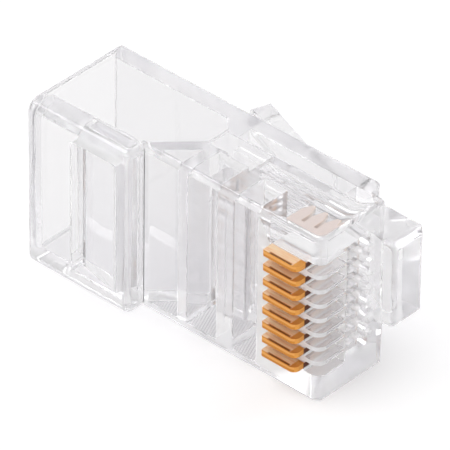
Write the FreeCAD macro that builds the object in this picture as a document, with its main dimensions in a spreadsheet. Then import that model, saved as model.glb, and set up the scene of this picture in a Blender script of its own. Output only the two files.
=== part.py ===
"""Eight-position modular plug: clear housing, latch lever, two clamp bars and eight contacts.

Every body is drawn about the mid-plane of the plug's width.  X is 0 at the nose face and
falls towards the cable end, because the jack locates the plug by its nose; a place that is
said to lie back is measured from there.  Y runs from the contact side (0) to the latch side.  The
placements then lay the plug on one side wall, with the origin in the middle of that wall.
"""
import math
import os

import FreeCAD, Part
import Sketcher

SIZES = [
    # housing outline
    ("body_length", 21.46, "cable end to nose face"),
    ("body_width", 11.68, "side wall to side wall"),
    ("body_thick", 6.4, "contact side to latch side, ahead of the heel"),
    ("heel_lead", 0.8, "heel ahead of the cable clamp window"),
    ("heel_drop", 1.55, "heel below the contact side"),
    ("heel_round", 0.8, "long edges of the heel"),
    ("heel_step_round", 0.35, "outer edge of the heel's step"),
    ("heel_overlap", 0.5, "heel pad run into the main pad"),
    ("nose_length", 1.04, "stepped lip at the nose"),
    ("lip_drop", 1.05, "lip and latch well floor below the latch side"),
    ("nose_round", 0.6, "nose edge on the contact side"),
    ("edge_round", 0.3, "long edges of the contact side, and on up the nose"),
    ("rail_round", 0.5, "front ends of the two side rails"),
    # walls
    ("side_wall", 0.9, "beside the cable cavity"),
    ("pocket_wall", 0.59, "beside the pockets of the contact side"),
    ("roof_wall", 0.85, "over the cable cavity"),
    ("floor_wall", 0.35, "under the cable cavity"),
    ("well_floor", 0.6, "latch well to the conductor chamber"),
    ("well_wall", 0.2, "rear wall of the latch well, ahead of the ramp's top"),
    ("well_gap", 0.24, "latch side clearance in the well"),
    # cable cavity and conductor chamber
    ("mouth_flare", 0.4, "flare at the cable mouth"),
    ("ramp_gap", 0.2, "window to the conductor ramp"),
    ("chamber_floor", 3.15, "contact side to the floor of the conductor chamber"),
    ("chamber_inset", 0.44, "chamber narrower than the cavity, each side"),
    # window, pockets and the ribs between them, from the contacts to the cable end
    ("core_rib", 1.1, "contacts to the coring pocket"),
    ("core_pocket_length", 1.8, "coring pocket along the plug"),
    ("core_pocket_depth", 2.6, "depth of the coring pocket"),
    ("bore_rib", 1.3, "coring pocket to the conductor chamber"),
    ("bar_pocket_length", 2.3, "conductor clamp pocket along the plug"),
    ("bar_pocket_depth", 2.7, "full-width depth of the conductor clamp pocket"),
    ("ramp_rib", 0.75, "conductor clamp pocket to the slanted pocket"),
    ("ramp_pocket_depth", 2.25, "slanted pocket, as deep as it is long"),
    ("window_rib", 1.2, "slanted pocket to the cable clamp window"),
    ("window_length", 3.5, "cable clamp window along the plug"),
    ("window_inset", 0.34, "window narrower than the cavity, each side"),
    # conductor bores and contact slots
    ("contact_count", 8, "contacts, slots and bores"),
    ("contact_pitch", 1.016, "spacing of the contacts"),
    ("bore_diameter", 1.0, "conductor bore"),
    ("bore_drop", 0.65, "bore centres below the chamber's ceiling"),
    ("bore_front", 0.86, "back to the closed end of the bores"),
    ("slot_side_gap", 0.015, "slot clearance on each flat of a contact"),
    ("slot_end_gap", 0.03, "slot clearance ahead of a contact"),
    ("slot_cover", 0.35, "slots short of the latch well floor"),
    ("comb_slot_width", 0.72, "open slot in the nose, ahead of a contact"),
    ("comb_slot_depth", 2.2, "depth of that slot"),
    # contacts, as supplied: not yet driven down
    ("contact_front", 1.11, "back to the front edge of a contact"),
    ("contact_length", 2.65, "contact along the plug"),
    ("contact_thick", 0.35, "sheet that the contacts are stamped from"),
    ("contact_proud", 0.82, "contact above the contact side"),
    ("contact_round", 0.45, "outer front corner of a contact"),
    ("contact_heel_round", 0.2, "outer rear corner of a contact"),
    ("prong_root", 2.45, "where the prongs leave the blade"),
    ("prong_tip", 3.2, "blunt tips of the prongs"),
    ("prong_blunt", 0.24, "width of those tips"),
    ("prong_slit", 0.2, "slit between two prongs"),
    ("slit_depth", 0.75, "depth of that slit"),
    # latch
    ("latch_width", 6.0, "latch root and lever"),
    ("latch_rise", 2.65, "latch root's outer face above the latch well floor"),
    ("latch_root_rear", 3.29, "back to the rear face of the latch root"),
    ("latch_overhang", 0.89, "latch root ahead of the nose"),
    ("latch_root_round", 0.5, "outer and side edges at the latch root's front"),
    ("latch_lip_round", 0.35, "contact-side edge at the latch root's front"),
    ("latch_angle", 20.3, "rise of the free lever, in degrees"),
    ("latch_thick", 1.25, "lever thickness"),
    ("shoulder_reach", 5.11, "latch root to the locking shoulders"),
    ("shoulder_width", 4.7, "lever at the locking shoulders"),
    ("shoulder_slope", 0.5, "run of each locking shoulder"),
    ("tab_length", 6.84, "locking shoulders to the finger tab's outer edge"),
    ("tab_width", 3.25, "finger tab"),
    ("tab_round", 0.4, "outer corners of the finger tab"),
    # cable clamp, hinged along the front edge of its window
    ("clamp_side_gap", 0.1, "clearance at each end of a clamp bar"),
    ("clamp_rear_gap", 0.2, "clearance behind a clamp bar"),
    ("clamp_rear_outer", 0.8, "rear edge below the contact side"),
    ("clamp_rear_inner", 0.45, "rear edge above the contact side"),
    ("clamp_front_outer", 1.5, "front edge below the contact side"),
    ("clamp_hinge_drop", 1.1, "hinge line below the contact side"),
    ("clamp_crest", 1.0, "crest above the contact side"),
    ("clamp_crest_length", 1.1, "flat of the crest along the plug"),
    ("clamp_slant", 0.8, "run of the slanted face above the hinge"),
    # conductor clamp, hinged along the front wall of its pocket
    ("bar_ledge", 0.25, "ledge at the rear of the chamber opening"),
    ("bar_outer", 1.55, "outer face of the conductor clamp"),
    ("bar_hinge", 1.85, "hinge line above the contact side"),
    ("bar_inner", 3.0, "inner face of the conductor clamp"),
    ("bar_slant", 0.45, "run of the slanted front face"),
    ("bar_rear_slant", 0.4, "run of the slanted rear edge"),
]

# Places and widths that follow from the sizes: each is the sum of its terms, and a term that
# starts with a minus sign is taken away.
SUMS = {
    # back from the nose face
    "contact_rear": ["contact_front", "contact_length"],
    "core_pocket_front": ["contact_rear", "core_rib"],
    "core_pocket_rear": ["core_pocket_front", "core_pocket_length"],
    "chamber_front": ["core_pocket_rear", "bore_rib"],
    "bar_pocket_rear": ["chamber_front", "bar_pocket_length"],
    "ramp_pocket_front": ["bar_pocket_rear", "ramp_rib"],
    "ramp_pocket_rear": ["ramp_pocket_front", "ramp_pocket_depth"],
    "window_front": ["ramp_pocket_rear", "window_rib"],
    "window_rear": ["window_front", "window_length"],
    "heel_front": ["window_front", "-heel_lead"],
    "ramp_foot": ["window_front", "-ramp_gap"],
    "ramp_top": ["ramp_foot", "-chamber_floor", "floor_wall"],
    "roof_foot": ["ramp_top", "cavity_ceiling", "-chamber_ceiling"],
    "well_rear": ["ramp_top", "-well_wall"],
    "tab_shoulder": ["latch_root_rear", "shoulder_reach"],
    "tab_end": ["tab_shoulder", "tab_length"],
    # from the contact side
    "nose_height": ["body_thick", "-lip_drop"],
    "latch_top": ["nose_height", "latch_rise"],
    "cavity_ceiling": ["body_thick", "-roof_wall"],
    "chamber_ceiling": ["nose_height", "-well_floor"],
    "bore_height": ["chamber_ceiling", "-bore_drop"],
    "slot_floor": ["nose_height", "-slot_cover"],
    # across the plug
    "cavity_width": ["body_width", "-side_wall", "-side_wall"],
    "pocket_width": ["body_width", "-pocket_wall", "-pocket_wall"],
    "chamber_width": ["cavity_width", "-chamber_inset", "-chamber_inset"],
    "window_width": ["cavity_width", "-window_inset", "-window_inset"],
    "well_width": ["latch_width", "well_gap", "well_gap"],
    "cable_clamp_width": ["window_width", "-clamp_side_gap", "-clamp_side_gap"],
    "conductor_clamp_width": ["chamber_width", "-clamp_side_gap", "-clamp_side_gap"],
    "slot_width": ["contact_thick", "slot_side_gap", "slot_side_gap"],
    # clamps
    "clamp_rear": ["window_rear", "-clamp_rear_gap"],
    "crest_front": ["window_front", "clamp_slant"],
    "crest_rear": ["crest_front", "clamp_crest_length"],
    "opening_rear": ["bar_pocket_rear", "-bar_ledge"],
    "bar_rear": ["opening_rear", "-clamp_rear_gap"],
    "bar_crest_front": ["chamber_front", "bar_slant"],
    "bar_crest_rear": ["bar_rear", "-bar_rear_slant"],
    "bar_shoulder": ["bar_inner", "-bar_rear_slant"],
}

VALUE = {name: value for name, value, note in SIZES}
OVERCUT = 1.0  # how far a cutting sketch runs past an open face
LAP = 0.1  # how far one cut runs into the next
TOLERANCE = 1e-4
ALONG = FreeCAD.Vector(1, 0, 0)
THROUGH = FreeCAD.Vector(0, 1, 0)
ACROSS = FreeCAD.Vector(0, 0, 1)


def size(name):
    """Expression for a size or a sum, in terms of the sheet's cells."""
    if name.startswith("-"):
        return "-" + size(name[1:])
    if name in VALUE:
        return "Sizes." + name
    return "(" + " + ".join(size(term) for term in SUMS[name]) + ")"


def back(name):
    """Expression for a place measured back from the nose face."""
    return size("-" + name)


def amount(name):
    """Number in millimetres for a size or a sum, used to find edges."""
    if name.startswith("-"):
        return -amount(name[1:])
    if name in VALUE:
        return VALUE[name]
    return sum(amount(term) for term in SUMS[name])


def build_sheet(doc):
    """Driving dimensions, one row each: name, value, note."""
    sheet = doc.addObject("Spreadsheet::Sheet", "Sizes")
    for row, (name, value, note) in enumerate(SIZES, start=1):
        sheet.set("A%d" % row, name)
        sheet.set("B%d" % row, str(value))
        sheet.set("C%d" % row, note)
        sheet.setAlias("B%d" % row, name)
    doc.recompute()
    return sheet


def new_body(doc, label, across="0"):
    """Body laid on its side wall; `across` shifts it along the plug's width."""
    body = doc.addObject("PartDesign::Body", label)
    body.Label = label
    body.setExpression("Placement.Base.x", "Sizes.body_length / 2")
    body.setExpression("Placement.Base.y", "-Sizes.body_thick / 2")
    body.setExpression("Placement.Base.z", "Sizes.body_width / 2 + " + across)
    return body


def origin_plane(body, role):
    """One of the body's own origin planes."""
    for feature in body.Origin.OriginFeatures:
        if feature.Role == role:
            return feature
    raise ValueError("no origin plane " + role)


def new_sketch(body, name, role):
    """Empty sketch on one of the body's origin planes."""
    sketch = body.newObject("Sketcher::SketchObject", name)
    sketch.AttachmentSupport = [(origin_plane(body, role), "")]
    sketch.MapMode = "FlatFace"
    return sketch


def bind(sketch, constraint, expression):
    """Add a driving constraint and tie it to the sheet."""
    index = sketch.addConstraint(constraint)
    sketch.setExpression("Constraints[%d]" % index, expression)


def place_point(sketch, point, across, up):
    """Tie one point of a sketch to a pair of expressions."""
    bind(sketch, Sketcher.Constraint("DistanceX", -1, 1, *point, 1.0), across)
    bind(sketch, Sketcher.Constraint("DistanceY", -1, 1, *point, 1.0), up)


def draw_polygon(sketch, corners):
    """Closed outline whose corners are pairs of expressions.

    It is drawn as a regular polygon, and the constraints bring each corner to its place.
    """
    first = sketch.GeometryCount
    count = len(corners)
    points = []
    for step in range(count):
        turn = 2 * math.pi * step / count
        points.append(FreeCAD.Vector(math.cos(turn), math.sin(turn), 0))
    for step in range(count):
        segment = Part.LineSegment(points[step], points[(step + 1) % count])
        sketch.addGeometry(segment, False)
    for step in range(count):
        following = first + (step + 1) % count
        sketch.addConstraint(Sketcher.Constraint("Coincident", first + step, 2, following, 1))
    for step, (across, up) in enumerate(corners):
        place_point(sketch, (first + step, 1), across, up)


def draw_circle(sketch, across, up, diameter):
    """Circle whose centre and diameter are expressions."""
    circle = Part.Circle(FreeCAD.Vector(1, 1, 0), FreeCAD.Vector(0, 0, 1), 1.0)
    number = sketch.addGeometry(circle, False)
    place_point(sketch, (number, 3), across, up)
    bind(sketch, Sketcher.Constraint("Diameter", number, 2.0), diameter)


def pad_across(body, name, corners, width):
    """Side profile padded to both sides of the plug's mid-plane."""
    sketch = new_sketch(body, name + "_outline", "XY_Plane")
    draw_polygon(sketch, corners)
    pad = body.newObject("PartDesign::Pad", name)
    pad.Profile = sketch
    pad.SideType = "Symmetric"
    pad.setExpression("Length", width)
    body.Document.recompute()
    return pad


def cut_across(body, name, corners, width):
    """Side profile cut to both sides of the plug's mid-plane."""
    before = body.Shape.Volume
    sketch = new_sketch(body, name + "_outline", "XY_Plane")
    draw_polygon(sketch, corners)
    pocket = body.newObject("PartDesign::Pocket", name)
    pocket.Profile = sketch
    pocket.SideType = "Symmetric"
    pocket.setExpression("Length", width)
    body.Document.recompute()
    check_removed(body, name, before)
    return pocket


def check_removed(body, name, before):
    """A cut that points away from the solid removes nothing, so the volumes are compared."""
    if body.Shape.Volume >= before:
        raise RuntimeError(name + " removed nothing")


def round_edges(body, name, radius, chosen):
    """Fillet the edges of the body's tip that `chosen` accepts."""
    tip = body.Tip
    names = []
    for number, edge in enumerate(tip.Shape.Edges, start=1):
        if chosen(edge):
            names.append("Edge%d" % number)
    if not names:
        raise RuntimeError(name + " found no edge")
    fillet = body.newObject("PartDesign::Fillet", name)
    fillet.Base = (tip, names)
    fillet.setExpression("Radius", radius)
    body.Document.recompute()
    return fillet


def edge_at(direction, **place):
    """Test for straight edges along `direction` that run through the given coordinates.

    Sizes across the plug (z) are taken on both sides of the mid-plane.
    """
    def chosen(edge):
        if edge.Curve.TypeId != "Part::GeomLine":
            return False
        if abs(edge.Curve.Direction.dot(direction)) < 1 - TOLERANCE:
            return False
        middle = edge.CenterOfMass
        here = {"x": middle.x, "y": middle.y, "z": abs(middle.z)}
        return all(abs(here[axis] - value) < TOLERANCE for axis, value in place.items())
    return chosen


def rectangle(left, right, low, high):
    """Corners of a rectangle given by four expressions."""
    return [(left, low), (right, low), (right, high), (left, high)]


def add_outline(body):
    """Main block with its stepped nose, and the deeper heel with rounded long edges."""
    rear = back("body_length")
    step = back("nose_length")
    thick = size("body_thick")
    lip = size("nose_height")
    outline = [(rear, "0"), ("0", "0"), ("0", lip), (step, lip), (step, thick), (rear, thick)]
    pad_across(body, "main_block", outline, size("body_width"))
    round_edges(body, "nose_edge", size("nose_round"), edge_at(ACROSS, x=0, y=0))
    long_edges = edge_at(ALONG, y=0, z=amount("body_width") / 2)
    round_edges(body, "long_edges", size("edge_round"), long_edges)
    rail_edge = edge_at(ACROSS, x=-amount("nose_length"), y=amount("body_thick"))
    round_edges(body, "rail_ends", size("rail_round"), rail_edge)
    heel = rectangle(rear, back("heel_front"), back("heel_drop"), size("heel_overlap"))
    pad_across(body, "heel", heel, size("body_width"))
    heel_edge = edge_at(ALONG, y=-amount("heel_drop"), z=amount("body_width") / 2)
    round_edges(body, "heel_edges", size("heel_round"), heel_edge)
    step_edge = edge_at(ACROSS, x=-amount("heel_front"), y=-amount("heel_drop"))
    round_edges(body, "heel_step", size("heel_step_round"), step_edge)


def add_latch_root(body):
    """Block at the nose that the lever springs from."""
    root = rectangle(back("latch_root_rear"), size("latch_overhang"), size("nose_height"),
                     size("latch_top"))
    pad_across(body, "latch_root", root, size("latch_width"))
    front = amount("latch_overhang")
    outer = edge_at(ACROSS, x=front, y=amount("latch_top"))
    upright = edge_at(THROUGH, x=front, z=amount("latch_width") / 2)
    round_edges(body, "latch_root_front", size("latch_root_round"),
                lambda edge: outer(edge) or upright(edge))
    lip = edge_at(ACROSS, x=front, y=amount("nose_height"))
    round_edges(body, "latch_root_lip", size("latch_lip_round"), lip)


def cut_latch_well(body):
    """Well between the two rails, which the lever is pressed into."""
    front = "%s + %g" % (back("nose_length"), OVERCUT)
    open_side = "%s + %g" % (size("body_thick"), OVERCUT)
    well = rectangle(back("well_rear"), front, size("nose_height"), open_side)
    cut_across(body, "latch_well", well, size("well_width"))


def cut_cable_cavity(body):
    """Cable cavity with a flared mouth and a 45 degree ramp to the conductor chamber."""
    rear = back("body_length")
    throat = rear + " + " + size("mouth_flare")
    floor = size("floor_wall")
    ceiling = size("cavity_ceiling")
    ramp_top = back("ramp_top")
    cavity = [(rear, floor + " - " + size("mouth_flare")), (throat, floor),
              (back("ramp_foot"), floor), (ramp_top, size("chamber_floor")),
              (ramp_top, size("chamber_ceiling")), (back("roof_foot"), ceiling),
              (throat, ceiling), (rear, ceiling + " + " + size("mouth_flare"))]
    cut_across(body, "cable_cavity", cavity, size("cavity_width"))
    chamber = rectangle("%s - %g" % (ramp_top, LAP), back("chamber_front"),
                        size("chamber_floor"), size("chamber_ceiling"))
    cut_across(body, "conductor_chamber", chamber, size("chamber_width"))


def cut_contact_side(body):
    """Clamp window and the three pockets of the contact side."""
    below = "%s - %g" % (back("heel_drop"), OVERCUT)
    window_top = "%s + %g" % (size("floor_wall"), LAP)
    window = rectangle(back("window_rear"), back("window_front"), below, window_top)
    cut_across(body, "clamp_window", window, size("window_width"))
    open_side = "-%g" % OVERCUT
    foot = "%s - %g" % (back("ramp_pocket_rear"), OVERCUT)
    front = back("ramp_pocket_front")
    slant = [(foot, open_side), (front, open_side), (front, size("ramp_pocket_depth"))]
    cut_across(body, "ramp_pocket", slant, size("pocket_width"))
    bar_front = back("chamber_front")
    bar_pocket = rectangle(back("bar_pocket_rear"), bar_front, open_side,
                           size("bar_pocket_depth"))
    cut_across(body, "bar_pocket", bar_pocket, size("pocket_width"))
    opening_start = "%s - %g" % (size("bar_pocket_depth"), LAP)
    opening_end = "%s + %g" % (size("chamber_floor"), LAP)
    opening = rectangle(back("opening_rear"), bar_front, opening_start, opening_end)
    cut_across(body, "bar_opening", opening, size("chamber_width"))
    core = rectangle(back("core_pocket_rear"), back("core_pocket_front"), open_side,
                     size("core_pocket_depth"))
    cut_across(body, "core_pocket", core, size("pocket_width"))


def station(number):
    """Expression for a contact's offset from the mid-plane; contact 1 lies lowest."""
    return "(%d - (Sizes.contact_count + 1) / 2) * Sizes.contact_pitch" % number


def cut_station(body, name, corners, width):
    """Side profile cut at the first contact's station."""
    pocket = cut_across(body, name, corners, width)
    pocket.Profile[0].setExpression("AttachmentOffset.Base.z", station(1))
    return pocket


def cut_contact_stations(body):
    """Blade slot, open comb slot and conductor bore, repeated for every contact."""
    open_side = "-%g" % OVERCUT
    front = back("contact_front")
    slot_front = front + " + " + size("slot_end_gap")
    slot = rectangle(back("contact_rear"), slot_front, open_side, size("slot_floor"))
    blade_slot = cut_station(body, "blade_slot", slot, size("slot_width"))
    comb = rectangle(front, "%g" % OVERCUT, open_side, size("comb_slot_depth"))
    comb_slot = cut_station(body, "comb_slot", comb, size("comb_slot_width"))
    before = body.Shape.Volume
    sketch = new_sketch(body, "bore_outline", "YZ_Plane")
    sketch.setExpression("AttachmentOffset.Base.z", "%s - %g" % (back("chamber_front"), LAP))
    draw_circle(sketch, size("bore_height"), station(1), size("bore_diameter"))
    bore = body.newObject("PartDesign::Pocket", "conductor_bore")
    bore.Profile = sketch
    bore.Reversed = True
    reach = "%s - %s + %g" % (size("chamber_front"), size("bore_front"), LAP)
    bore.setExpression("Length", reach)
    body.Document.recompute()
    check_removed(body, "conductor_bore", before)
    pattern = body.newObject("PartDesign::LinearPattern", "contact_stations")
    pattern.Originals = [blade_slot, comb_slot, bore]
    pattern.Direction = (origin_plane(body, "Z_Axis"), [""])
    pattern.Mode = "Spacing"
    pattern.setExpression("Offset", size("contact_pitch"))
    pattern.setExpression("Occurrences", size("contact_count"))
    body.Tip = pattern
    body.Document.recompute()


def build_housing(doc):
    """Clear moulded housing."""
    body = new_body(doc, "housing")
    add_outline(body)
    cut_latch_well(body)
    add_latch_root(body)
    cut_cable_cavity(body)
    cut_contact_side(body)
    cut_contact_stations(body)
    return body


def tab_corner(edge):
    """Whether an edge runs through the lever's thickness at the tab's outer end."""
    middle = edge.CenterOfMass
    at_side = abs(abs(middle.z) - amount("tab_width") / 2) < TOLERANCE
    at_end = abs(edge.Length - amount("latch_thick")) < TOLERANCE
    return at_side and at_end


def build_latch_lever(doc):
    """Lever that leans out from the latch root, cut down to a narrow finger tab."""
    body = new_body(doc, "latch_lever")
    angle = "Sizes.latch_angle * 1 deg"
    root = back("latch_root_rear")
    top = size("latch_top")
    end = back("tab_end")
    inner_root = "%s - Sizes.latch_thick / cos(%s)" % (top, angle)
    tip_height = "%s + (%s - Sizes.latch_root_rear) * tan(%s)" % (top, size("tab_end"), angle)
    tip_inner = ("%s - Sizes.latch_thick * sin(%s)" % (end, angle),
                 "%s - Sizes.latch_thick * cos(%s)" % (tip_height, angle))
    profile = [(root, inner_root), (root, top), (end, tip_height), tip_inner]
    pad_across(body, "lever", profile, size("latch_width"))
    before = body.Shape.Volume
    sketch = new_sketch(body, "shoulder_outline", "XZ_Plane")
    shoulder = back("tab_shoulder")
    slope_start = shoulder + " - " + size("shoulder_slope")
    behind = "%s - Sizes.latch_thick - %g" % (end, OVERCUT)
    edge = "Sizes.tab_width / 2"
    side = "Sizes.latch_width / 2"
    outside = "%s + %g" % (side, OVERCUT)
    cheek = [(behind, edge), (slope_start, edge), (shoulder, "Sizes.shoulder_width / 2"),
             (root, side), (root, outside), (behind, outside)]
    draw_polygon(sketch, cheek)
    pocket = body.newObject("PartDesign::Pocket", "shoulder")
    pocket.Profile = sketch
    pocket.SideType = "Symmetric"
    pocket.setExpression("Length", "4 * " + top)
    doc.recompute()
    check_removed(body, "shoulder", before)
    mirror = body.newObject("PartDesign::Mirrored", "shoulders")
    mirror.Originals = [pocket]
    mirror.MirrorPlane = (origin_plane(body, "XY_Plane"), [""])
    body.Tip = mirror
    doc.recompute()
    round_edges(body, "tab_corners", size("tab_round"), tab_corner)
    return body


def build_cable_clamp(doc):
    """Wedge that is folded into the cable jacket about the front edge of its window."""
    body = new_body(doc, "cable_clamp")
    rear = back("clamp_rear")
    front = back("window_front")
    crest = size("clamp_crest")
    profile = [(rear, back("clamp_rear_outer")), (front, back("clamp_front_outer")),
               (front, back("clamp_hinge_drop")), (back("crest_front"), crest),
               (back("crest_rear"), crest), (rear, size("clamp_rear_inner"))]
    pad_across(body, "wedge", profile, size("cable_clamp_width"))
    return body


def build_conductor_clamp(doc):
    """Bar that is folded onto the conductors about the front wall of its pocket."""
    body = new_body(doc, "conductor_clamp")
    rear = back("bar_rear")
    front = back("chamber_front")
    inner = size("bar_inner")
    profile = [(rear, size("bar_outer")), (front, size("bar_outer")),
               (front, size("bar_hinge")), (back("bar_crest_front"), inner),
               (back("bar_crest_rear"), inner), (rear, size("bar_shoulder"))]
    pad_across(body, "bar", profile, size("conductor_clamp_width"))
    return body


def prong_profile():
    """Pronged edge of a contact, from its front edge to its rear edge."""
    width = "(Sizes.contact_length - 2 * Sizes.prong_slit) / 3"
    front = back("contact_front")
    slit_end = "Sizes.prong_root - Sizes.slit_depth"
    corners = []
    for prong in range(3):
        edge = "%s - %d * (%s + Sizes.prong_slit)" % (front, prong, width)
        if prong > 0:
            corners.append((edge, slit_end))
        middle = "%s - %s / 2" % (edge, width)
        corners.append((edge, size("prong_root")))
        corners.append((middle + " + Sizes.prong_blunt / 2", size("prong_tip")))
        corners.append((middle + " - Sizes.prong_blunt / 2", size("prong_tip")))
        corners.append(("%s - %s" % (edge, width), size("prong_root")))
        if prong < 2:
            corners.append(("%s - %s" % (edge, width), slit_end))
    return corners


def build_contact(doc, number):
    """Flat blade with a rounded outer edge and three prongs."""
    body = new_body(doc, "contact_%d" % number, station(number))
    outer = back("contact_proud")
    outline = [(back("contact_rear"), outer), (back("contact_front"), outer)]
    outline += prong_profile()
    pad_across(body, "blade_%d" % number, outline, size("contact_thick"))
    outer_edge = -amount("contact_proud")
    front_corner = edge_at(ACROSS, x=-amount("contact_front"), y=outer_edge)
    round_edges(body, "front_corner_%d" % number, size("contact_round"), front_corner)
    rear_corner = edge_at(ACROSS, x=-amount("contact_rear"), y=outer_edge)
    round_edges(body, "rear_corner_%d" % number, size("contact_heel_round"), rear_corner)
    return body


def check_document(doc):
    """Stop before anything is written if any object failed to rebuild."""
    doc.recompute()
    for item in doc.Objects:
        if "Invalid" in item.State or "Error" in item.State:
            raise RuntimeError("failed: %s %s" % (item.Label, item.State))


def export_part(body):
    """Write one sub-part to its own STEP file."""
    shape = body.Shape
    if shape.isNull() or not shape.isValid() or len(shape.Solids) != 1:
        raise RuntimeError("bad shape: " + body.Label)
    shape.exportStep("parts/%s.step" % body.Label)
    print("%-18s %8.2f mm3" % (body.Label, shape.Volume))


def main():
    """Build the plug and write its sub-parts."""
    doc = FreeCAD.newDocument("modular_plug")
    build_sheet(doc)
    bodies = [build_housing(doc), build_latch_lever(doc), build_cable_clamp(doc),
              build_conductor_clamp(doc)]
    for number in range(1, VALUE["contact_count"] + 1):
        bodies.append(build_contact(doc, number))
    check_document(doc)
    os.makedirs("parts", exist_ok=True)
    for body in bodies:
        export_part(body)


main()
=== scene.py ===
# %% [markdown]
# # A clear modular plug
# The object is an eight-position plug for network cable: a housing moulded in clear
# polycarbonate, a springy latch, two clamp bars and eight gold-plated contact blades.
# Clear plastic is drawn almost entirely by its edges, so this lesson spends its effort on
# three things: true wall thicknesses, a fine radius on every moulded edge, and a studio that
# gives those edges something grey to bend.  The first cell loads the measured model, which
# stays as it is; everything below dresses it.

# %% Load the frame
import math

import bmesh
import bpy
from mathutils import Matrix, Vector


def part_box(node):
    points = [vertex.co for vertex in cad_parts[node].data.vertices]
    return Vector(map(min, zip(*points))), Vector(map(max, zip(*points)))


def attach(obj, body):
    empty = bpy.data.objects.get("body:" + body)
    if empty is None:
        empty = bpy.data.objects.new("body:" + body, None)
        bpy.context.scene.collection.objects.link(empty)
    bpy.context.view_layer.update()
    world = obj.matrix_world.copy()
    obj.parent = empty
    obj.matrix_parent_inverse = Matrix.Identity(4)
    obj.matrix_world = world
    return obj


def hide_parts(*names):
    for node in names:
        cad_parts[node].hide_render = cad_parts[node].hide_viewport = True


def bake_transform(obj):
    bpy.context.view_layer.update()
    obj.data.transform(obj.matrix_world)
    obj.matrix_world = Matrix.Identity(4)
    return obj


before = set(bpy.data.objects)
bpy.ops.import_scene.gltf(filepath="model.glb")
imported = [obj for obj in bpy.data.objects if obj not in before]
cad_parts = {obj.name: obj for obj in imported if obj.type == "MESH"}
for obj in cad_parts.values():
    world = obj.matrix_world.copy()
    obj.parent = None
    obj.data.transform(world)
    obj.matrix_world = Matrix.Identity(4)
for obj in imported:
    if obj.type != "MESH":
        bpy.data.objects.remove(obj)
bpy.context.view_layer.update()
MM = 0.001
CONTACTS = sorted(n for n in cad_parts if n.startswith("contact_"))
print("nodes:", len(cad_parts), "contacts:", len(CONTACTS))

# %% [markdown]
# ## Places on the plug
# The plug lies on one side wall.  X runs from the cable end to the nose, Y from the contact
# side to the latch side, and Z across the width.  Radii and finishes differ from place to
# place, so they need to know where they are.  Most places are read from the boxes of the
# housing and of its contacts, so that they follow the measured model.  A box can't say how
# wide the comb of slots is or where a pocket ends, so those few lengths are given here.

# %% Places measured from the frame
housing_low, housing_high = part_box("housing")
middle_z = (housing_low.z + housing_high.z) / 2
half_width = (housing_high.z - housing_low.z) / 2
blade_low, blade_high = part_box(CONTACTS[0])
first_z = (blade_low.z + blade_high.z) / 2
last_z = sum(corner.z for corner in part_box(CONTACTS[-1])) / 2
pitch = (last_z - first_z) / (len(CONTACTS) - 1)
print("half width and pitch in mm:", round(half_width / MM, 3), round(pitch / MM, 4))

# %% Places that no box gives
COMB_HALF_WIDTH = 4.2 * MM              # middle of the plug to just past the outer slots
comb_floor = housing_low.y + 3.8 * MM   # just under the open slots of the nose
EDGE_TO_SLOT = 0.85 * MM                # contact edge of a blade to just inside its slot
SLOT_MARGIN = 0.1 * MM                  # a slot ends this close to its blade, or closer
slot_mouth = blade_low.y + EDGE_TO_SLOT
POCKET_HALF_WIDTH = 5.25 * MM           # middle of the plug to a pocket's end wall
MOUTH_LOW, MOUTH_HIGH = -3.9 * MM, 3.1 * MM     # the cable mouth lies between these
HAIR = 0.01 * MM                        # two places closer than this are the same
ON_PLANE = 0.001 * MM                   # a corner this near to a cutting plane lies on it
print("comb floor and slot mouth in mm:", round(comb_floor / MM, 2), round(slot_mouth / MM, 2))

# %% [markdown]
# ## Camera
# A small object looks natural through a long lens from well back, because its parallel edges
# then stay nearly parallel.  The camera could be turned by hand until the view looks right.
# Here it is built from an azimuth, an elevation and a slight roll instead, so that the same
# three numbers can be read off again.  The aim point sits a little beside the plug's middle,
# which frames the plug without using the camera's shift.

# %% Camera direction
AZIMUTH, ELEVATION, ROLL = math.radians(42.20), math.radians(36.33), math.radians(0.74)
DISTANCE = 0.414
LENS, SENSOR = 574.3, 36.0


def direction_to(azimuth, elevation):
    """Unit vector from the plug towards a place round it; azimuth 0 is the contact side."""
    return Vector((math.sin(azimuth) * math.cos(elevation),
                   -math.cos(azimuth) * math.cos(elevation), math.sin(elevation)))


back = direction_to(AZIMUTH, ELEVATION)
level = Vector((math.cos(AZIMUTH), math.sin(AZIMUTH), 0))
upright = back.cross(level)
right = level * math.cos(ROLL) + upright * math.sin(ROLL)
up = back.cross(right)
print("camera looks along", [round(-x, 3) for x in back])

# %% Camera
PLUG_MIDDLE = Vector((-0.03, 0.10, 5.84)) * MM
AIM_RIGHT, AIM_DOWN = 0.323, 0.208          # millimetres from the plug's middle
aim = PLUG_MIDDLE + right * AIM_RIGHT * MM - up * AIM_DOWN * MM
camera = bpy.data.objects.new("camera", bpy.data.cameras.new("camera"))
camera.data.sensor_width = SENSOR
camera.data.lens = LENS
camera.data.clip_start = 0.01
camera.data.clip_end = 50.0
stand = Matrix((right, up, back)).transposed().to_4x4()
stand.translation = aim + back * DISTANCE
camera.matrix_world = stand
bpy.context.scene.collection.objects.link(camera)
bpy.context.scene.camera = camera
bpy.context.scene.view_settings.view_transform = "Standard"
print("camera at", [round(x, 4) for x in camera.location])

# %% [markdown]
# ## Node helpers
# Materials and the world are built from nodes, and the same few steps come up again and
# again: add a node with its values set, do one sum, split a vector, turn a number into a
# colour.  A short function for each keeps the recipes below readable.

# %% Node helpers
def new_node(tree, kind, **settings):
    """Add a node; settings that name an input set its value, the rest are properties."""
    made = tree.nodes.new(kind)
    for key, value in settings.items():
        if hasattr(made, key):
            setattr(made, key, value)
        else:
            made.inputs[key.replace("_", " ")].default_value = value
    return made


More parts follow.
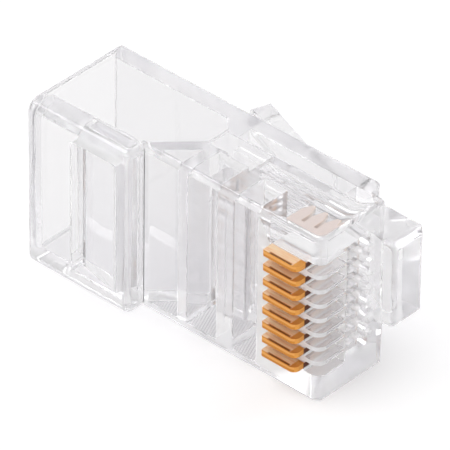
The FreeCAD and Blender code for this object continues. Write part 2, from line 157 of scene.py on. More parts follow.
def math_node(tree, operation, first, second=None, clamp=False):
    """One arithmetic step; each argument is a number or another node's output."""
    made = new_node(tree, "ShaderNodeMath", operation=operation, use_clamp=clamp)
    for socket, value in zip(made.inputs, (first, second)):
        if isinstance(value, (int, float)):
            socket.default_value = value
        elif value is not None:
            tree.links.new(value, socket)
    return made.outputs[0]


def axes_of(tree, vector):
    """The X, Y and Z outputs of a vector."""
    split = new_node(tree, "ShaderNodeSeparateXYZ")
    tree.links.new(vector, split.inputs[0])
    return split.outputs


print("node helpers:", [made.__name__ for made in (new_node, math_node, axes_of)])

# %% Colour and mixing helpers
def colour_ramp(tree, factor, stops):
    """Colour ramp from (position, colour) pairs; a single number is a grey."""
    made = tree.nodes.new("ShaderNodeValToRGB")
    tree.links.new(factor, made.inputs["Fac"])
    elements = made.color_ramp.elements
    while len(elements) < len(stops):
        elements.new(0.5)
    for element, (position, colour) in zip(elements, stops):
        element.position = position
        grey = isinstance(colour, (int, float))
        element.color = (colour, colour, colour, 1) if grey else (*colour, 1)
    return made.outputs["Color"]


def mixed(tree, factor, first, second):
    """Mix two shaders: first where the factor is 0, second where it is 1."""
    mix = new_node(tree, "ShaderNodeMixShader")
    for socket, source in zip(mix.inputs, (factor, first, second)):
        tree.links.new(source, socket)
    return mix.outputs[0]


def new_material(name):
    """A material with the material's tree and its Principled shader."""
    material = bpy.data.materials.new(name)
    material.use_nodes = True
    return material, material.node_tree, material.node_tree.nodes["Principled BSDF"]


print("colour helpers:", [made.__name__ for made in (colour_ramp, mixed, new_material)])

# %% [markdown]
# ## Studio
# The plug lies on a wide white table.  Clear plastic in an evenly white room would vanish,
# so the room that reflected and refracted rays see is a real studio in miniature: a white
# table and ceiling with a grey belt between them, which is the room's far wall.  The camera
# itself sees plain white behind the plug.  A picture of a real studio could do the same, but
# a ramp with a few greys is easier to steer.

# %% Room
BELT = [(0.0, 1.0), (0.50, 0.96), (0.60, 0.62), (0.72, 0.80), (0.82, 1.0), (1.0, 1.0)]
FILL_STRENGTH = 0.62
world = bpy.data.worlds.new("studio")
bpy.context.scene.world = world
world.use_nodes = True
room = world.node_tree
room.nodes.clear()


def background(colour, strength):
    """A world shader; the colour is a tuple or another node's output."""
    made = new_node(room, "ShaderNodeBackground", Strength=strength)
    if isinstance(colour, tuple):
        made.inputs["Color"].default_value = (*colour, 1)
    else:
        room.links.new(colour, made.inputs["Color"])
    return made.outputs[0]


looking = new_node(room, "ShaderNodeTexCoord").outputs["Generated"]
height = math_node(room, "MULTIPLY_ADD", axes_of(room, looking)["Z"], 0.5)
height.node.inputs[2].default_value = 0.5       # 0 straight down, 1 straight up
walls = background(colour_ramp(room, height, BELT), 1.0)
fill = background((1.0, 0.99, 1.0), FILL_STRENGTH)
white = background((1.0, 1.0, 1.0), 1.0)
print("belt stops:", len(BELT))

# %% [markdown]
# Blender can tell what kind of ray is asking.  The camera gets plain white, mirrored and
# refracted rays get the room, and the rays that only light the plug get an even, dimmer
# white.  One background for all would be simpler, but either the plastic would vanish or the
# backdrop would show the belt.

# %% Who sees what
rays = new_node(room, "ShaderNodeLightPath")
bent = math_node(room, "MAXIMUM", rays.outputs["Is Glossy Ray"],
                 rays.outputs["Is Transmission Ray"])
seen = mixed(room, rays.outputs["Is Camera Ray"], mixed(room, bent, fill, walls), white)
room.links.new(seen, new_node(room, "ShaderNodeOutputWorld").inputs[0])
print("world nodes:", len(room.nodes))

# %% [markdown]
# The table is one large quad. It glows a little, because in so small a studio a white table
# would come out grey, both in the camera and in the rays that the plastic bends. It lies a
# hair under the plug, so that no two faces share a plane.

# %% Floor
TABLE_GREY = 0.92
GLOW_FOR_CAMERA, GLOW_FOR_BENT_RAYS = 0.24, 0.12


def white_table():
    """Matt white that also glows a little for seen rays, so that it reads as white."""
    material, tree, shader = new_material("table_white")
    shader.inputs["Base Color"].default_value = (TABLE_GREY, TABLE_GREY, TABLE_GREY, 1)
    shader.inputs["Roughness"].default_value = 0.9
    shader.inputs["Specular IOR Level"].default_value = 0.0
    seen_by = new_node(tree, "ShaderNodeLightPath").outputs
    bent_rays = math_node(tree, "MAXIMUM", seen_by["Is Glossy Ray"],
                          seen_by["Is Transmission Ray"])
    glow = math_node(tree, "ADD", math_node(tree, "MULTIPLY", bent_rays, GLOW_FOR_BENT_RAYS),
                     math_node(tree, "MULTIPLY", seen_by["Is Camera Ray"], GLOW_FOR_CAMERA))
    shader.inputs["Emission Color"].default_value = (1, 1, 1, 1)
    tree.links.new(glow, shader.inputs["Emission Strength"])
    return material


FLOOR_REACH, FLOOR_DROP = 3.0, 0.02 * MM
corners = [(x * FLOOR_REACH, y * FLOOR_REACH, 0) for x, y in ((-1, -1), (1, -1), (1, 1), (-1, 1))]
floor = bpy.data.objects.new("floor", bpy.data.meshes.new("floor"))
floor.data.from_pydata(corners, [], [(0, 1, 2, 3)])
floor.data.materials.append(white_table())
floor.location.z = -FLOOR_DROP
bpy.context.scene.collection.objects.link(floor)
print("floor width in m:", 2 * FLOOR_REACH)

# %% [markdown]
# A small lamp would put a hard spark on every bevel.  The two lamps are wide soft boxes, so
# each polished face mirrors an even area instead.  The key stands high on the contact side.
# The weaker rim comes from the latch side and keeps that side from going flat.

# %% Lamps
def soft_lamp(name, azimuth, elevation, distance, width, power):
    """Square soft box that looks at the plug from a given direction."""
    data = bpy.data.lights.new(name, "AREA")
    data.shape = "SQUARE"
    data.size = width
    data.energy = power
    lamp = bpy.data.objects.new(name, data)
    away = direction_to(math.radians(azimuth), math.radians(elevation))
    lamp.location = away * distance
    lamp.rotation_euler = away.to_track_quat("Z", "Y").to_euler()
    bpy.context.scene.collection.objects.link(lamp)
    return lamp


key = soft_lamp("key", azimuth=-35, elevation=62, distance=0.7, width=0.45, power=1.5)
rim = soft_lamp("rim", azimuth=170, elevation=40, distance=0.8, width=0.40, power=0.6)
print("lamps:", key.name, rim.name)

# %% [markdown]
# ## Moulded skins
# A measured solid has perfectly sharp edges, and in clear plastic a sharp edge is invisible.
# A mould never makes one: every corner of the tool leaves a radius of a few hundredths of a
# millimetre.  Each clear piece is therefore a copy of its solid.  The loose triangles are
# merged and the flats are made whole faces again.  Then a narrow bevel rounds the edges that
# a finger could feel.  A subdivision surface could round them too, but it would also soften
# the flats, and a flat that is not flat shows at once in clear plastic.

# %% Copy of a solid
MERGE_WITHIN, FLAT_WITHIN = 0.002 * MM, math.radians(0.6)


def merged_copy(node):
    """Closed mesh of a CAD node: doubles merged and coplanar triangles joined."""
    shell = bmesh.new()
    shell.from_mesh(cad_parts[node].data)
    bmesh.ops.remove_doubles(shell, verts=shell.verts, dist=MERGE_WITHIN)
    bmesh.ops.dissolve_limit(shell, angle_limit=FLAT_WITHIN, verts=shell.verts,
                             edges=shell.edges)
    return shell


def keep_as_object(shell, name):
    """Turn a bmesh into a linked object at the origin."""
    mesh = bpy.data.meshes.new(name)
    shell.to_mesh(mesh)
    shell.free()
    piece = bpy.data.objects.new(name, mesh)
    bpy.context.scene.collection.objects.link(piece)
    return piece


def applied(piece):
    """Replace a piece's mesh by its evaluated one and drop the modifiers."""
    graph = bpy.context.evaluated_depsgraph_get()
    mesh = bpy.data.meshes.new_from_object(piece.evaluated_get(graph))
    piece.modifiers.clear()
    old = piece.data
    piece.data = mesh
    bpy.data.meshes.remove(old)
    mesh.name = piece.name
    return piece


print("triangles in the housing's solid:", len(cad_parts["housing"].data.polygons))

# %% [markdown]
# Which edges are rounded is decided edge by edge, with a weight from 0 to 1.  The bevel could
# choose them by their angle alone, but then it would round every short edge too, where there
# is no room for a radius.  Its normals are hardened, so that the flats between the rounded
# edges still look flat.

# %% Rounded edges
SHARP = math.radians(25)
SHORTEST = 0.6 * MM


def if_long(edge):
    """Share of the radius: all of it, and none for an edge that is very short."""
    return 1.0 if edge.calc_length() >= SHORTEST else 0.0


def round_edges(piece, radius, share, segments=2, clamp=False):
    """Bevel the sharp edges, each by its share of the radius, and shade the rest smooth."""
    shell = bmesh.new()
    shell.from_mesh(piece.data)
    weights = shell.edges.layers.float.new("bevel_weight_edge")
    rounded = 0
    for edge in shell.edges:
        if len(edge.link_faces) == 2 and edge.calc_face_angle() > SHARP:
            edge.smooth = False
            edge[weights] = share(edge)
            rounded += edge[weights] > 0
    for face in shell.faces:
        face.smooth = True
    shell.to_mesh(piece.data)
    shell.free()
    bevel = piece.modifiers.new("mould_radius", "BEVEL")
    bevel.width = radius
    bevel.segments = segments
    bevel.limit_method = "WEIGHT"
    bevel.use_clamp_overlap = clamp
    bevel.harden_normals = True
    print(piece.name, "edges rounded:", rounded)
    return applied(piece)


print("edges count as sharp from", round(math.degrees(SHARP)), "degrees")

# %% [markdown]
# ## Clear plastic
# Polycarbonate bends light strongly (index 1.585).  Real mouldings are never optically
# perfect: a trace of haze lifts the darkest reflections, and the polish of the tool leaves a
# very slow waviness.  Some faces also carry fine slanted tool marks, crossed by a weaker set.
# Both belong to the surface and more than one plastic uses them, so they are one node group.

# %% Surface of a moulding
SLANTS = ((0.92, 0.40), (-0.40, 0.92))      # shares of X and Y; at right angles
SECOND_SET = 0.6                            # strength of the crossing grooves
RELIEF = 0.02 * MM                          # height of the waves and of the grooves


def crossed_grooves(group, place, inputs):
    """Two sets of waves across each other; the second is the weaker one."""
    axes = axes_of(group, place)
    radians_per_metre = math_node(group, "DIVIDE", 2 * math.pi, inputs["Groove Spacing"])
    waves = []
    for along, across in SLANTS:
        slant = math_node(group, "ADD", math_node(group, "MULTIPLY", axes["X"], along),
                          math_node(group, "MULTIPLY", axes["Y"], across))
        angle = math_node(group, "MULTIPLY", slant, radians_per_metre)
        waves.append(math_node(group, "SINE", angle))
    return math_node(group, "MAXIMUM", waves[0],
                     math_node(group, "MULTIPLY", waves[1], SECOND_SET))


def moulded_surface():
    """Node group: slow waviness everywhere, and crossed grooves where Hatch is above 0."""
    group = bpy.data.node_groups.new("moulded_surface", "ShaderNodeTree")
    for name, value in (("Waviness", 0.06), ("Hatch", 0.0), ("Groove Spacing", 0.17 * MM)):
        socket = group.interface.new_socket(name=name, in_out="INPUT",
                                            socket_type="NodeSocketFloat")
        socket.default_value = value
    group.interface.new_socket(name="Normal", in_out="OUTPUT", socket_type="NodeSocketVector")
    group.interface.new_socket(name="Groove", in_out="OUTPUT", socket_type="NodeSocketFloat")
    inputs = group.nodes.new("NodeGroupInput").outputs
    outputs = group.nodes.new("NodeGroupOutput").inputs
    place = new_node(group, "ShaderNodeTexCoord").outputs["Object"]
    wave = new_node(group, "ShaderNodeTexNoise", Scale=420.0, Detail=1.0, Roughness=0.4)
    group.links.new(place, wave.inputs["Vector"])
    swell = new_node(group, "ShaderNodeBump", Distance=RELIEF)
    group.links.new(inputs["Waviness"], swell.inputs["Strength"])
    group.links.new(wave.outputs["Fac"], swell.inputs["Height"])
    groove = math_node(group, "MULTIPLY", crossed_grooves(group, place, inputs),
                       inputs["Hatch"])
    cut = new_node(group, "ShaderNodeBump", Strength=0.6, Distance=RELIEF)
    group.links.new(groove, cut.inputs["Height"])
    group.links.new(swell.outputs["Normal"], cut.inputs["Normal"])
    group.links.new(cut.outputs["Normal"], outputs["Normal"])
    group.links.new(groove, outputs["Groove"])
    return group


MOULDED = moulded_surface()
print("sockets of the moulded surface:", len(MOULDED.interface.items_tree))

# %% [markdown]
# Two practical touches go with the plastic.  Light that only lights, meaning shadow and
# diffuse rays, passes straight through, so that the table under the plug stays bright.  And a
# ray that has bounced inside a thin wall many times is let out, as it would be in the end,
# instead of being counted as black.

# %% Rays that pass
PASSING_TINT = (0.965, 0.963, 0.970)
TRAPPED_AFTER = 4.5         # bounces; a whole number would sit on the edge of the test


def let_rays_out(tree, shader):
    """Shader that lighting rays and long-trapped rays pass straight through."""
    clear = new_node(tree, "ShaderNodeBsdfTransparent")
    clear.inputs["Color"].default_value = (*PASSING_TINT, 1)
    ray = new_node(tree, "ShaderNodeLightPath").outputs
    lighting = math_node(tree, "MAXIMUM", ray["Is Shadow Ray"], ray["Is Diffuse Ray"])
    trapped = math_node(tree, "GREATER_THAN", ray["Ray Depth"], TRAPPED_AFTER)
    passing = math_node(tree, "MAXIMUM", lighting, trapped)
    return mixed(tree, passing, shader.outputs[0], clear.outputs[0])


print("a ray counts as trapped after", TRAPPED_AFTER, "bounces")

# %% Plastic
PLASTIC = (0.972, 0.970, 0.974)
POLYCARBONATE_INDEX = 1.585
GROOVE_SHADE = [(0.25, PLASTIC), (0.85, (0.62, 0.62, 0.64))]


def clear_plastic(name, haze, roughness, hatch=0.0):
    """Polycarbonate; haze is the share of light that it scatters."""
    material, tree, shader = new_material(name)
    shader.inputs["Base Color"].default_value = (*PLASTIC, 1)
    shader.inputs["Transmission Weight"].default_value = 1.0 - haze
    shader.inputs["IOR"].default_value = POLYCARBONATE_INDEX
    shader.inputs["Roughness"].default_value = roughness
    surface = new_node(tree, "ShaderNodeGroup", node_tree=MOULDED)
    surface.inputs["Hatch"].default_value = hatch
    tree.links.new(surface.outputs["Normal"], shader.inputs["Normal"])
    if hatch > 0:
        shade = colour_ramp(tree, surface.outputs["Groove"], GROOVE_SHADE)
        tree.links.new(shade, shader.inputs["Base Color"])
    tree.links.new(let_rays_out(tree, shader), tree.nodes["Material Output"].inputs["Surface"])
    return material


print("tint of the plastic:", PLASTIC)

# %% [markdown]
# A mould isn't polished evenly, because a toolmaker can only reach some of its faces.  The
# outer walls are clear.  The deep faces of the comb stay satin, and the narrow ribs between
# the slots scatter so much light that they read as white lines.  The faces beside the pockets
# keep the tool's slanted marks.  Four plastics with their own haze are simpler to steer than
# one plastic with a painted mask, and each face then says by its material how it was made.

# %% Four finishes
CLEAR = clear_plastic("polycarbonate_clear", haze=0.09, roughness=0.03)
SATIN = clear_plastic("polycarbonate_satin", haze=0.22, roughness=0.10)
RIB = clear_plastic("polycarbonate_rib", haze=0.70, roughness=0.10)
HATCHED = clear_plastic("polycarbonate_hatched", haze=0.50, roughness=0.08, hatch=1.0)


def dress(piece, finishes, choose=None):
    """Give every face the finish that choose returns for it, or else the first one."""
    piece.data.materials.clear()
    for finish in finishes:
        piece.data.materials.append(finish)
    for face in piece.data.polygons:
        face.material_index = finishes.index(choose(face)) if choose else 0
    used = [face.material_index for face in piece.data.polygons]
    print(piece.name, {finish.name: used.count(i) for i, finish in enumerate(finishes)})


print("finishes:", [finish.name for finish in (CLEAR, SATIN, RIB, HATCHED)])

# %% [markdown]
# ## Root of the latch
# On the real plug the latch grows out of the housing: there is no surface where the two
# meet.  The frame keeps them as two bodies so that the latch can be pressed, so both skins
# are opened where they touch.  The lever loses its root end, the housing loses the matching
# part of its root block, and light runs through as in one piece of plastic.  Two closed
# skins would leave a hidden wall there, and clear plastic shows it as a dark plane.

# %% Root of the latch
lever_low, lever_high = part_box("latch_lever")
ROOT_X = lever_high.x
lever_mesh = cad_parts["latch_lever"].data
ROOT_Y = sorted({round(v.co.y, 6) for v in lever_mesh.vertices if v.co.x > ROOT_X - HAIR})
print("latch root at x", round(ROOT_X, 5), "y", ROOT_Y)


def open_root(shell, cut):
    """Delete the faces that lie in the root plane; cut first splits off the lever's part."""
    def at_root(face):
        inside = all(abs(v.co.x - ROOT_X) < HAIR for v in face.verts)
        return inside and abs(face.normal.x) > 0.9
    faces = [f for f in shell.faces if at_root(f)]
    if cut:
        around = {v for f in faces for v in f.verts} | {e for f in faces for e in f.edges}
        bmesh.ops.bisect_plane(shell, geom=faces + list(around), dist=ON_PLANE,
                               plane_co=(ROOT_X, ROOT_Y[0], 0), plane_no=(0, 1, 0))
        faces = [f for f in shell.faces if at_root(f)
                 and f.calc_center_median().y > ROOT_Y[0]]
    bmesh.ops.delete(shell, geom=faces, context="FACES_ONLY")
    print("root faces opened:", len(faces))
    return shell


# %% [markdown]
# ## Housing
# The tool's outer corners are rounded more than its cores, because a hand polishes them, so
# the long outer edges get the full radius and the inner ones about a third of it.  One radius
# for all would be simpler, but the slots have to stay sharp: a bevel fills the inner corners
# of a slot, and the contact needs that room.

# %% Radii of the housing
FULL_RADIUS = 0.20 * MM
INNER_SHARE = 0.35
OUTER_LENGTH = 3.0 * MM     # the outer corners of the housing are longer than this


def in_slot(places):
    """Whether these places lie inside the slots that hold the contacts."""
    return all(blade_low.x - SLOT_MARGIN < co.x < blade_high.x + SLOT_MARGIN
               and co.y > slot_mouth and abs(co.z - middle_z) < COMB_HALF_WIDTH
               for co in places)


def round_the_mouth(places):
    """Whether these places lie on the outer rim of the cable end."""
    return all(co.x < housing_low.x + HAIR
               and (abs(co.z - middle_z) > half_width - FULL_RADIUS
                    or not MOUTH_LOW < co.y < MOUTH_HIGH) for co in places)


def housing_share(edge):
    """Share of the full radius that one edge of the housing gets."""
    places = [v.co for v in edge.verts]
    on_side_wall = all(abs(co.z - middle_z) > half_width - HAIR for co in places)
    if on_side_wall and edge.calc_length() > OUTER_LENGTH:
        return 1.0
    if in_slot(places):
        return 0.0
    if round_the_mouth(places):
        return 1.0
    return INNER_SHARE * if_long(edge)


housing_shell = open_root(merged_copy("housing"), cut=True)
housing = round_edges(keep_as_object(housing_shell, "housing_skin"), FULL_RADIUS,
                      housing_share, segments=3)

# %% [markdown]
# The faces are told apart by where they lie and which way they look. They could be picked by
# hand, but a rule finds them again when the measured model changes.

# %% Finishes of the housing
def housing_finish(face):
    """Grooved beside the pockets, satin and white in the comb, clear everywhere else."""
    centre, normal = face.center, face.normal
    if abs(middle_z - centre.z - POCKET_HALF_WIDTH) < 2 * HAIR and normal.z > 0.9:
        return HATCHED
    if centre.y > comb_floor or abs(centre.z - middle_z) > COMB_HALF_WIDTH:
        return CLEAR
    if abs(normal.z) > 0.9 and centre.x > blade_high.x - SLOT_MARGIN:
        return SATIN
    if centre.x > blade_low.x and max(normal.x, -normal.y) > 0.5:
        return RIB
    return CLEAR


dress(housing, [CLEAR, HATCHED, SATIN, RIB], housing_finish)
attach(housing, "housing")
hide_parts("housing")

# %% [markdown]
# ## Latch lever
# On the real plug the lever is bent, not hinged.  Here its skin is cut across in short steps
# near the root, but it stays where the measured model puts it and is tied to no body.
# Letting the whole lever ride on the latch would be simpler, but it would tear the skin open
# at the root as soon as the latch is pressed.

# %% Latch lever
LEVER_RADIUS = 0.08 * MM
CUT_STEP, CUTS = 0.45 * MM, 6
lever_shell = open_root(merged_copy("latch_lever"), cut=False)
for cut in range(1, CUTS + 1):
    everything = lever_shell.verts[:] + lever_shell.edges[:] + lever_shell.faces[:]
    bmesh.ops.bisect_plane(lever_shell, geom=everything, dist=ON_PLANE,
                           plane_co=(ROOT_X - CUT_STEP * cut, 0, 0), plane_no=(1, 0, 0))
lever = round_edges(keep_as_object(lever_shell, "latch_lever_skin"), LEVER_RADIUS, if_long,
                    clamp=True)
dress(lever, [CLEAR])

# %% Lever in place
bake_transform(lever)
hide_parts("latch_lever")

# %% [markdown]
# ## Clamp bars
# Two bars are moulded into the contact side and folded in when the plug is crimped: a wedge
# onto the cable jacket and a bar onto the conductors.  Their rear faces stand close in front
# of a pocket wall.  Two clear faces with a narrow gap make a dark line, as trapped light does,
# so the rear faces are satin, as the tool leaves them in such a gap.

# %% Clamp bars
BAR_RADIUS = 0.06 * MM


def bar_finish(face):
    """Satin on the rear, clear elsewhere."""
    return SATIN if face.normal.x < -0.9 else CLEAR


for node in ("cable_clamp", "conductor_clamp"):
    bar = round_edges(keep_as_object(merged_copy(node), node + "_skin"), BAR_RADIUS, if_long,
                      clamp=True)
    dress(bar, [CLEAR, SATIN], bar_finish)
    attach(bar, node)
    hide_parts(node)

# %% [markdown]
# ## Contacts
# The contacts are stamped from phosphor bronze sheet, and the press coins a shallow groove
# just inside the edge that touches the jack.  The groove is cut into the mesh, because a
# painted line would lie flat in grazing light.  A boolean with two plain bars does that in
# one step, and on flat sheet it leaves clean edges.

# %% Coined groove
GROOVE_ACROSS = (0.07 * MM, 0.22 * MM)      # in from the contact edge
GROOVE_ALONG = (0.50 * MM, 2.15 * MM)       # back from the front edge
GROOVE_BITE = 0.04 * MM


def groove_cutter():
    """Bars that press the groove into both flats of the first blade."""
    bars = bmesh.new()
    size = (GROOVE_ALONG[1] - GROOVE_ALONG[0], GROOVE_ACROSS[1] - GROOVE_ACROSS[0],
            2 * GROOVE_BITE)
    for flat_z in (blade_low.z, blade_high.z):
        centre = Vector((blade_high.x - sum(GROOVE_ALONG) / 2,
                         blade_low.y + sum(GROOVE_ACROSS) / 2, flat_z))
        for corner in bmesh.ops.create_cube(bars, size=1.0)["verts"]:
            corner.co = centre + Vector(a * b for a, b in zip(corner.co, size))
    return keep_as_object(bars, "groove_cutter")


def in_groove(co):
    """Whether a place lies in the groove, seen from the side of the blade."""
    back_by, in_by = blade_high.x - co.x, co.y - blade_low.y
    return (GROOVE_ALONG[0] - HAIR < back_by < GROOVE_ALONG[1] + HAIR
            and GROOVE_ACROSS[0] - HAIR < in_by < GROOVE_ACROSS[1] + HAIR)


print("groove width in mm:", round((GROOVE_ACROSS[1] - GROOVE_ACROSS[0]) / MM, 3))

# %% [markdown]
# All eight contacts come from one die, so only one blade is made in full.  It is cut, its
# outline gets the small radius that tumbling leaves, and it is kept as the pattern for the
# row.

# %% Pattern for the blades
BLADE_RADIUS = 0.05 * MM
BLADE_SHORTEST = 0.15 * MM      # a blade is small, so its shorter edges are rounded too


def blade_share(edge):
    """The outline gets its radius; the groove stays crisp."""
    crisp = all(in_groove(v.co) for v in edge.verts)
    return 0.0 if crisp or edge.calc_length() < BLADE_SHORTEST else 1.0


pattern = keep_as_object(merged_copy(CONTACTS[0]), "blade_pattern")
cutter = groove_cutter()
press = pattern.modifiers.new("coined_groove", "BOOLEAN")
press.operation = "DIFFERENCE"
press.object = cutter
pattern = round_edges(applied(pattern), BLADE_RADIUS, blade_share)
bpy.data.objects.remove(cutter)
print("faces of a blade:", len(pattern.data.polygons))

# %% [markdown]
# ### Contact metal
# A contact shows several metals: polished gold where it touches the jack, bare bronze on the
# flats, and the two halves of a stamped edge.  All of that follows the blade's own shape, so
# the material measures from the blade's corner, and asks which way a face looks.  A painted
# texture could show the same, but it would need the blade unwrapped and would go soft close
# up.  The recipe is made of soft masks, each of them 1 where its metal is and 0 elsewhere,
# and the same masks serve all eight blades.

# %% Soft masks
def soft_step(tree, value, at, soft):
    """0 below a place and 1 above it, with a soft change."""
    step = new_node(tree, "ShaderNodeMapRange", interpolation_type="SMOOTHSTEP",
                    From_Min=at - soft, From_Max=at + soft)
    tree.links.new(value, step.inputs["Value"])
    return step.outputs["Result"]


def band(tree, value, low, high, soft):
    """1 where value lies between low and high, with soft ends; all in metres."""
    return math_node(tree, "SUBTRACT", soft_step(tree, value, low, soft),
                     soft_step(tree, value, high, soft))


def spread(tree, value, full, low, high):
    """Stretch 0 to full onto low to high."""
    made = new_node(tree, "ShaderNodeMapRange", From_Max=full, To_Min=low, To_Max=high)
    tree.links.new(value, made.inputs["Value"])
    return made.outputs["Result"]


def blend_colour(tree, factor, first, second):
    """Mix of two colours; each is a tuple or a node's output."""
    mix = new_node(tree, "ShaderNodeMix", data_type="RGBA")
    tree.links.new(factor, mix.inputs["Factor"])
    for socket, colour in ((mix.inputs[6], first), (mix.inputs[7], second)):
        if isinstance(colour, tuple):
            socket.default_value = (*colour, 1)
        else:
            tree.links.new(colour, socket)
    return mix.outputs[2]


OUTSIDE, BEYOND = -1.0 * MM, 9.0 * MM       # before the start and past the end of any blade
print("a band from", OUTSIDE / MM, "to", BEYOND / MM, "mm takes in a whole blade")

# %% Places on a blade
def blade_places(tree, place):
    """Depth from the contact edge, distance from the front, and side of the sheet."""
    axes = axes_of(tree, place)
    depth = math_node(tree, "SUBTRACT", axes["Y"], blade_low.y)
    from_front = math_node(tree, "SUBTRACT", blade_high.x, axes["X"])
    along_row = math_node(tree, "SUBTRACT", axes["Z"], first_z)
    station = math_node(tree, "ROUND", math_node(tree, "DIVIDE", along_row, pitch))
    off_station = math_node(tree, "SUBTRACT", along_row,
                            math_node(tree, "MULTIPLY", station, pitch))
    return depth, from_front, off_station


def rolled_grain(tree, place):
    """Fine lines along the strip: noise that is stretched ten times along X."""
    stretch = new_node(tree, "ShaderNodeMapping", Scale=(900, 9000, 9000))
    tree.links.new(place, stretch.inputs["Vector"])
    grain = new_node(tree, "ShaderNodeTexNoise", Scale=1.0, Detail=3.0)
    tree.links.new(stretch.outputs[0], grain.inputs["Vector"])
    return grain.outputs["Fac"]


print("contact edge at y in mm:", round(blade_low.y / MM, 3))

# %% [markdown]
# The flats are rolled strip: duller and pinker than the gold, with fine lines along the
# strip.  The plating laps a little way over the contact edge and the front corner, and it
# ends in the coined groove, which is painted dark as shade.  Deep in its slot the strip is
# pale.  One noise gives the lines, and it drives colour, roughness and relief together, as a
# real scratch does.

# %% Colour of the flats
PLATED_EDGE, PLATED_FRONT = 0.10 * MM, 0.42 * MM    # reach of the plating on the flats
GOLD = (0.81, 0.37, 0.09)
STRIP = [(0.35, (0.93, 0.54, 0.29)), (0.50, (1.0, 0.68, 0.41)), (0.66, (1.0, 0.79, 0.55))]
PALE_BRONZE = (0.86, 0.70, 0.62)
# painted shade: the coined groove is coloured nearly black to stand in for the shade inside it
GROOVE_PAINTED_SHADE = (0.21, 0.075, 0.016)


def plating_mask(tree, depth, from_front, inner):
    """1 where the flats are plated: along the contact edge and round the front corner."""
    plated = math_node(tree, "MAXIMUM", band(tree, depth, OUTSIDE, PLATED_EDGE, 0.03 * MM),
                       band(tree, from_front, OUTSIDE, PLATED_FRONT, 0.05 * MM))
    return math_node(tree, "MULTIPLY", plated, math_node(tree, "SUBTRACT", 1.0, inner))


def flat_colour(tree, grain, depth, from_front, inner, plated):
    """Rolled strip, pale where it sits in the slot, gold at the edge, painted shade in the
    groove.
    """
    strip = blend_colour(tree, inner, colour_ramp(tree, grain, STRIP), PALE_BRONZE)
    # this mask lays the painted shade along the coined groove
    groove = math_node(tree, "MULTIPLY", band(tree, depth, *GROOVE_ACROSS, 0.025 * MM),
                       band(tree, from_front, *GROOVE_ALONG, 0.10 * MM))
    return blend_colour(tree, groove, blend_colour(tree, plated, strip, GOLD), GROOVE_PAINTED_SHADE)


print("tones of the strip:", len(STRIP))

# %% [markdown]
# A stamped edge has a bright sheared half and a darker torn half, with a ragged border
# between them.  The front edge changes with depth instead: gold outside, dark where the slot
# shades it, and bare and pale further in.  A ramp over the depth is the shortest way to say so.

# %% Colour of the edges
SHEARED, TORN = (0.88, 0.43, 0.12), (0.67, 0.27, 0.055)
RAGGED = 0.15 * MM          # how far the border between the halves wanders
FRONT_REACH = 2.0 * MM      # depth that the stops of the front edge are spread over
SHADED = (0.13, 0.05, 0.03)
FRONT_EDGE = [(0.0, GOLD), (0.36, GOLD), (0.40, SHADED), (0.60, SHADED),
              (0.68, (0.80, 0.68, 0.60))]


def edge_colour(tree, grain, depth, off_station, facing_x):
    """Sheared and torn halves; the front edge goes from gold through dark to bare."""
    ragged = math_node(tree, "MULTIPLY", math_node(tree, "SUBTRACT", grain, 0.5), RAGGED)
    torn = band(tree, math_node(tree, "ADD", off_station, ragged), OUTSIDE, 0.0, 0.03 * MM)
    halves = blend_colour(tree, torn, SHEARED, TORN)
    front = colour_ramp(tree, spread(tree, depth, FRONT_REACH, 0.0, 1.0), FRONT_EDGE)
    return blend_colour(tree, math_node(tree, "GREATER_THAN", facing_x, 0.7), halves, front)


print("stops down the front edge:", len(FRONT_EDGE))

# %% [markdown]
# The masks and colours come together in one material.  Bare strip is only slightly metallic
# here: a true mirror would show little but the dark inside of the plug, while the real strip
# is dull enough to keep its pink from every side.

# %% Contact metal
PLATING_METALLIC, STRIP_METALLIC = 1.0, 0.1
SMOOTHEST, ROUGHEST = 0.22, 0.42
LINE_DEPTH = 0.004 * MM


def plated_bronze():
    """Gold edge ending at the coined groove, painted shade in that groove, rolled bronze flats.
    """
    material, tree, shader = new_material("contact_gold")
    place = new_node(tree, "ShaderNodeTexCoord").outputs["Object"]
    depth, from_front, off_station = blade_places(tree, place)
    grain = rolled_grain(tree, place)
    facing = axes_of(tree, new_node(tree, "ShaderNodeNewGeometry").outputs["Normal"])
    on_flat = math_node(tree, "GREATER_THAN", math_node(tree, "ABSOLUTE", facing["Z"]), 0.8)
    inner = band(tree, depth, EDGE_TO_SLOT, BEYOND, 0.05 * MM)
    plated = plating_mask(tree, depth, from_front, inner)
    colour = blend_colour(tree, on_flat,
                          edge_colour(tree, grain, depth, off_station, facing["X"]),
                          flat_colour(tree, grain, depth, from_front, inner, plated))
    tree.links.new(colour, shader.inputs["Base Color"])
    dull = math_node(tree, "SUBTRACT", on_flat, plated, clamp=True)
    tree.links.new(spread(tree, dull, 1.0, PLATING_METALLIC, STRIP_METALLIC),
                   shader.inputs["Metallic"])
    tree.links.new(spread(tree, grain, 1.0, SMOOTHEST, ROUGHEST), shader.inputs["Roughness"])
    lines = new_node(tree, "ShaderNodeBump", Strength=0.3, Distance=LINE_DEPTH)
    tree.links.new(grain, lines.inputs["Height"])
    tree.links.new(lines.outputs["Normal"], shader.inputs["Normal"])
    return material


CONTACT_METAL = plated_bronze()
print("nodes of the contact metal:", len(CONTACT_METAL.node_tree.nodes))

# %% [markdown]
# ### Row of contacts
# Eight equal blades at one pitch are a job for Geometry Nodes.  The tree takes one finished
# blade, the pitch and a station number, and puts the blade there.  One array of eight would
# be shorter, but every contact is a body of its own that slides when it is crimped, so the
# tree is evaluated once for each contact.

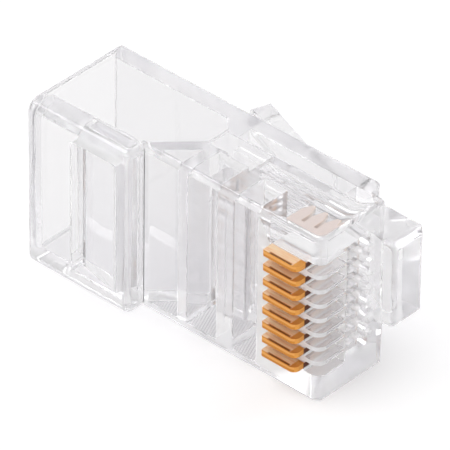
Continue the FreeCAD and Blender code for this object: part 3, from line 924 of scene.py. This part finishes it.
# %% Blade tree
def blade_tree():
    """Geometry Nodes: one blade moved to its station, realised, with its material."""
    tree = bpy.data.node_groups.new("blade_at_station", "GeometryNodeTree")
    for name, kind in (("Blade", "NodeSocketObject"), ("Station", "NodeSocketInt"),
                       ("Pitch", "NodeSocketFloat"), ("Finish", "NodeSocketMaterial")):
        tree.interface.new_socket(name=name, in_out="INPUT", socket_type=kind)
    tree.interface.new_socket(name="Geometry", in_out="OUTPUT", socket_type="NodeSocketGeometry")
    inputs = tree.nodes.new("NodeGroupInput").outputs
    source = tree.nodes.new("GeometryNodeObjectInfo")
    tree.links.new(inputs["Blade"], source.inputs["Object"])
    spot = tree.nodes.new("GeometryNodeMeshLine")
    spot.inputs["Count"].default_value = 1
    offset = tree.nodes.new("ShaderNodeCombineXYZ")
    tree.links.new(math_node(tree, "MULTIPLY", inputs["Station"], inputs["Pitch"]),
                   offset.inputs["Z"])
    tree.links.new(offset.outputs[0], spot.inputs["Start Location"])
    stand_in = tree.nodes.new("GeometryNodeInstanceOnPoints")
    tree.links.new(spot.outputs["Mesh"], stand_in.inputs["Points"])
    tree.links.new(source.outputs["Geometry"], stand_in.inputs["Instance"])
    real = tree.nodes.new("GeometryNodeRealizeInstances")
    tree.links.new(stand_in.outputs["Instances"], real.inputs["Geometry"])
    finish = tree.nodes.new("GeometryNodeSetMaterial")
    tree.links.new(real.outputs["Geometry"], finish.inputs["Geometry"])
    tree.links.new(inputs["Finish"], finish.inputs["Material"])
    tree.links.new(finish.outputs["Geometry"],
                   tree.nodes.new("NodeGroupOutput").inputs["Geometry"])
    return tree


AT_STATION = blade_tree()
print("nodes of the blade tree:", len(AT_STATION.nodes))

# %% One blade from the tree
def from_tree(tree, name, values):
    """Evaluate a tree with named inputs and keep the result as a plain mesh object."""
    piece = bpy.data.objects.new(name, bpy.data.meshes.new(name))
    bpy.context.scene.collection.objects.link(piece)
    modifier = piece.modifiers.new("nodes", "NODES")
    modifier.node_group = tree
    for item in tree.interface.items_tree:
        if item.in_out == "INPUT" and item.name in values:
            modifier[item.identifier] = values[item.name]
    return applied(piece)


print("inputs of the tree:", [item.name for item in AT_STATION.interface.items_tree
                              if item.in_out == "INPUT"])

# %% [markdown]
# Each blade stands in for one contact of the measured model.  Its mesh is a plain one by now,
# so the pattern has done its work and goes.

# %% Contacts
for station, node in enumerate(CONTACTS):
    blade = from_tree(AT_STATION, node + "_blade", {"Blade": pattern, "Station": station,
                                                    "Pitch": pitch, "Finish": CONTACT_METAL})
    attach(blade, node)
    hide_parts(node)
bpy.data.objects.remove(pattern)
print("blades:", len(CONTACTS))
